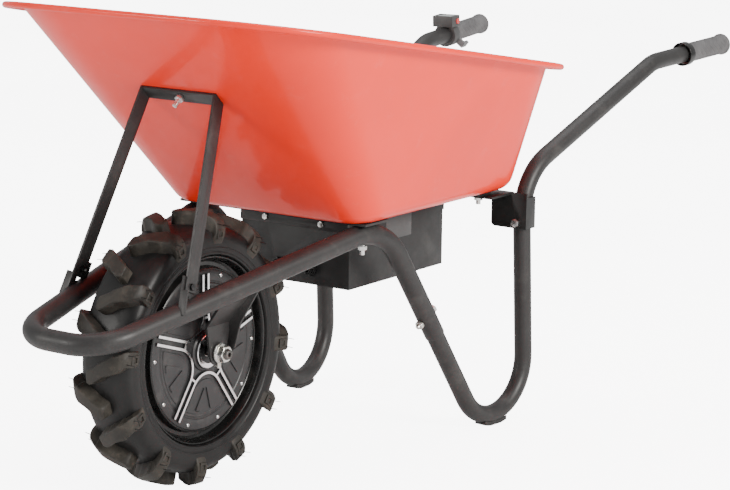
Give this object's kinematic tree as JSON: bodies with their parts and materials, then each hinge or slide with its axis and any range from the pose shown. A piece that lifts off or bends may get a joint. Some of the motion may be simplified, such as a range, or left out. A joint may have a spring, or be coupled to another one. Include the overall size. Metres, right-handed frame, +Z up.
{
  "type": "power wheelbarrow",
  "caption": "Single-wheel power wheelbarrow: hub motor wheel, red steel tub, looped black tube frame, battery box under the tub and thumb throttle on the right grip.",
  "frame": {"origin": "on the ground, midway between the front bar and the grip tips, on the middle plane", "axes": "+X forward towards the wheel, +Y to the operator's left, +Z up"},
  "size_m": [1.5751, 0.64, 0.7543],
  "materials": {
    "tub_paint": "gloss red powder coat",
    "frame_paint": "satin black powder coat",
    "box_paint": "fine matt black coat",
    "skid_steel": "worn black paint",
    "zinc": "bright zinc plating",
    "black_steel": "blackened steel",
    "axle_steel": "dark machined steel",
    "core_steel": "bare laminated steel",
    "bearing_steel": "polished steel",
    "copper": "enamelled copper wire",
    "cast_black": "black coated cast aluminium, machined edges bright",
    "tyre_rubber": "moulded black rubber",
    "pack_plastic": "shrink-wrapped cells",
    "controller_metal": "finned aluminium",
    "label_film": "blank plate",
    "gland_plastic": "black nylon",
    "grip_rubber": "grooved dark grey rubber",
    "stop_plastic": "black plastic",
    "throttle_plastic": "black moulded plastic",
    "window": "clear display window",
    "button_red": "red plastic",
    "paddle_plastic": "light grey plastic"
  },
  "bodies": {
    "chassis": {"tub": "tub_paint", "front_frame_tube": "frame_paint", "left_handle_tube": "frame_paint", "right_handle_tube": "frame_paint", "left_foot_skid": "skid_steel", "right_foot_skid": "skid_steel", "splice_bolts": "zinc", "splice_nuts": "zinc", "left_fork_plate": "frame_paint", "right_fork_plate": "frame_paint", "left_brace_bracket": "frame_paint", "right_brace_bracket": "frame_paint", "front_brace": "frame_paint", "brace_bolts": "black_steel", "brace_nuts": "black_steel", "tub_front_bolt": "zinc", "tub_front_nut": "zinc", "front_cross_angle": "frame_paint", "rear_cross_angle": "frame_paint", "left_clamp_bracket": "frame_paint", "right_clamp_bracket": "frame_paint", "clamp_bolts": "zinc", "clamp_nuts": "zinc", "tub_bolts": "zinc", "tub_nuts": "zinc", "power_box": "box_paint", "power_box_lid": "box_paint", "box_bolts": "zinc", "box_nuts": "zinc", "battery_pack": "pack_plastic", "motor_controller": "controller_metal", "rating_label": "label_film", "cable_glands": "gland_plastic", "charge_socket": "gland_plastic", "axle": "axle_steel", "axle_nuts": "zinc", "axle_washers": "zinc", "tab_washers": "zinc", "motor_stator": "core_steel", "stator_windings": "copper", "left_grip": "grip_rubber", "right_grip": "grip_rubber", "left_hand_stop": "stop_plastic", "throttle_housing": "throttle_plastic", "throttle_screw": "zinc", "display_window": "window"},
    "wheel": {"wheel_rim": "cast_black", "magnet_ring": "core_steel", "left_hub_cover": "cast_black", "right_hub_cover": "cast_black", "cover_screws": "zinc", "hub_bearings": "bearing_steel", "tyre": "tyre_rubber"},
    "paddle": {"throttle_paddle": "paddle_plastic"},
    "button": {"power_button": "button_red"}
  },
  "joints": [
    {"name": "wheel_spin", "type": "hinge", "parent": "chassis", "child": "wheel", "pos_m": [0.48271, 0, 0.218], "axis": [0, 1, 0], "continuous": true},
    {"name": "throttle_press", "type": "hinge", "parent": "chassis", "child": "paddle", "pos_m": [-0.65553, -0.25757, 0.59181], "axis": [-0.9936, -0.0944, 0.0627], "range_deg": [0, 40], "stiffness_Nm_per_rad": 0.08, "springref_deg": -11.46},
    {"name": "button_press", "type": "slide", "parent": "chassis", "child": "button", "axis": [0.0943, -0.9955, -0.006], "range_m": [0, 0.0015], "stiffness_N_per_m": 400, "springref_m": -0.001}
  ]
}
